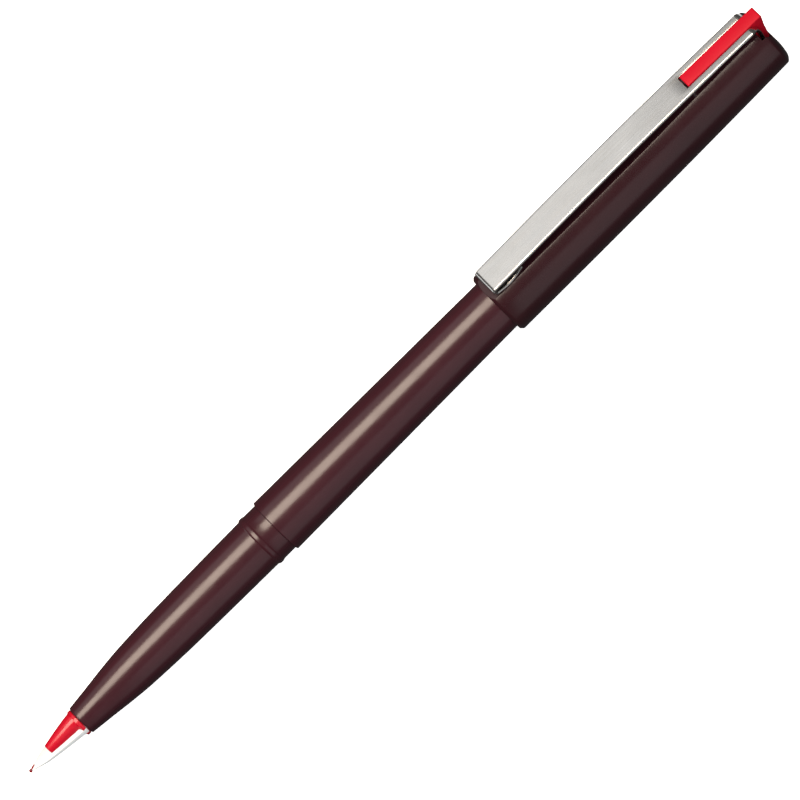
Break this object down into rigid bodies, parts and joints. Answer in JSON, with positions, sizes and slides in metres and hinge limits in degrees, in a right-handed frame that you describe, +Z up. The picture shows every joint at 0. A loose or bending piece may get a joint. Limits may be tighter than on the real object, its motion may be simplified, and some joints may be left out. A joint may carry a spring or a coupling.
{
  "type": "plastic-nib brush pen",
  "caption": "Slim capped pen with a leaf-shaped flexible plastic nib under a hood, cap posted on the tail, folded sheet-steel pocket clip and a colour plug at its root.",
  "frame": {"origin": "under the middle of the pen's length, on the surface that the cap's lowest line lies on (bottom centre of the bounding box)", "axes": "+X along the pen's axis from the nib's point to the cap's closed end, +Z up through the pocket clip, +Y across the pen"},
  "size_m": [0.1632, 0.0114, 0.0133],
  "materials": {
    "barrel_plastic": "dark reddish-brown moulded plastic, soft gloss",
    "cap_plastic": "dark reddish-brown moulded plastic, soft gloss",
    "colour_plastic": "bright red moulded plastic",
    "nib_plastic": "white, slightly translucent acetal",
    "inked_fibre": "bonded fibre soaked with red ink",
    "inner_plastic": "plain dark moulded plastic",
    "film": "clear film",
    "clip_steel": "bright, finely brushed stainless steel"
  },
  "bodies": {
    "pen": {"barrel": "barrel_plastic", "tail_plug": "barrel_plastic", "section": "barrel_plastic", "nib_leaf": "nib_plastic", "nib_ink_core": "inked_fibre", "nib_hood": "colour_plastic", "nib_cradle": "colour_plastic", "nib_holder": "inner_plastic", "wick_sleeve": "nib_plastic", "feed_wick": "inked_fibre", "reservoir_fibre": "inked_fibre", "reservoir_film": "film"},
    "cap": {"cap_shell": "cap_plastic", "inner_cap": "inner_plastic", "colour_plug": "colour_plastic"},
    "clip": {"clip": "clip_steel"}
  },
  "joints": [
    {"name": "cap_slide", "type": "slide", "parent": "pen", "child": "cap", "axis": [1, 0, 0], "range_m": [0, 0.03]},
    {"name": "clip_flex", "type": "hinge", "parent": "cap", "child": "clip", "pos_m": [0.07945, 0, 0.0074], "axis": [0, 1, 0], "range_deg": [0, 2.2], "stiffness_Nm_per_rad": 0.4}
  ]
}
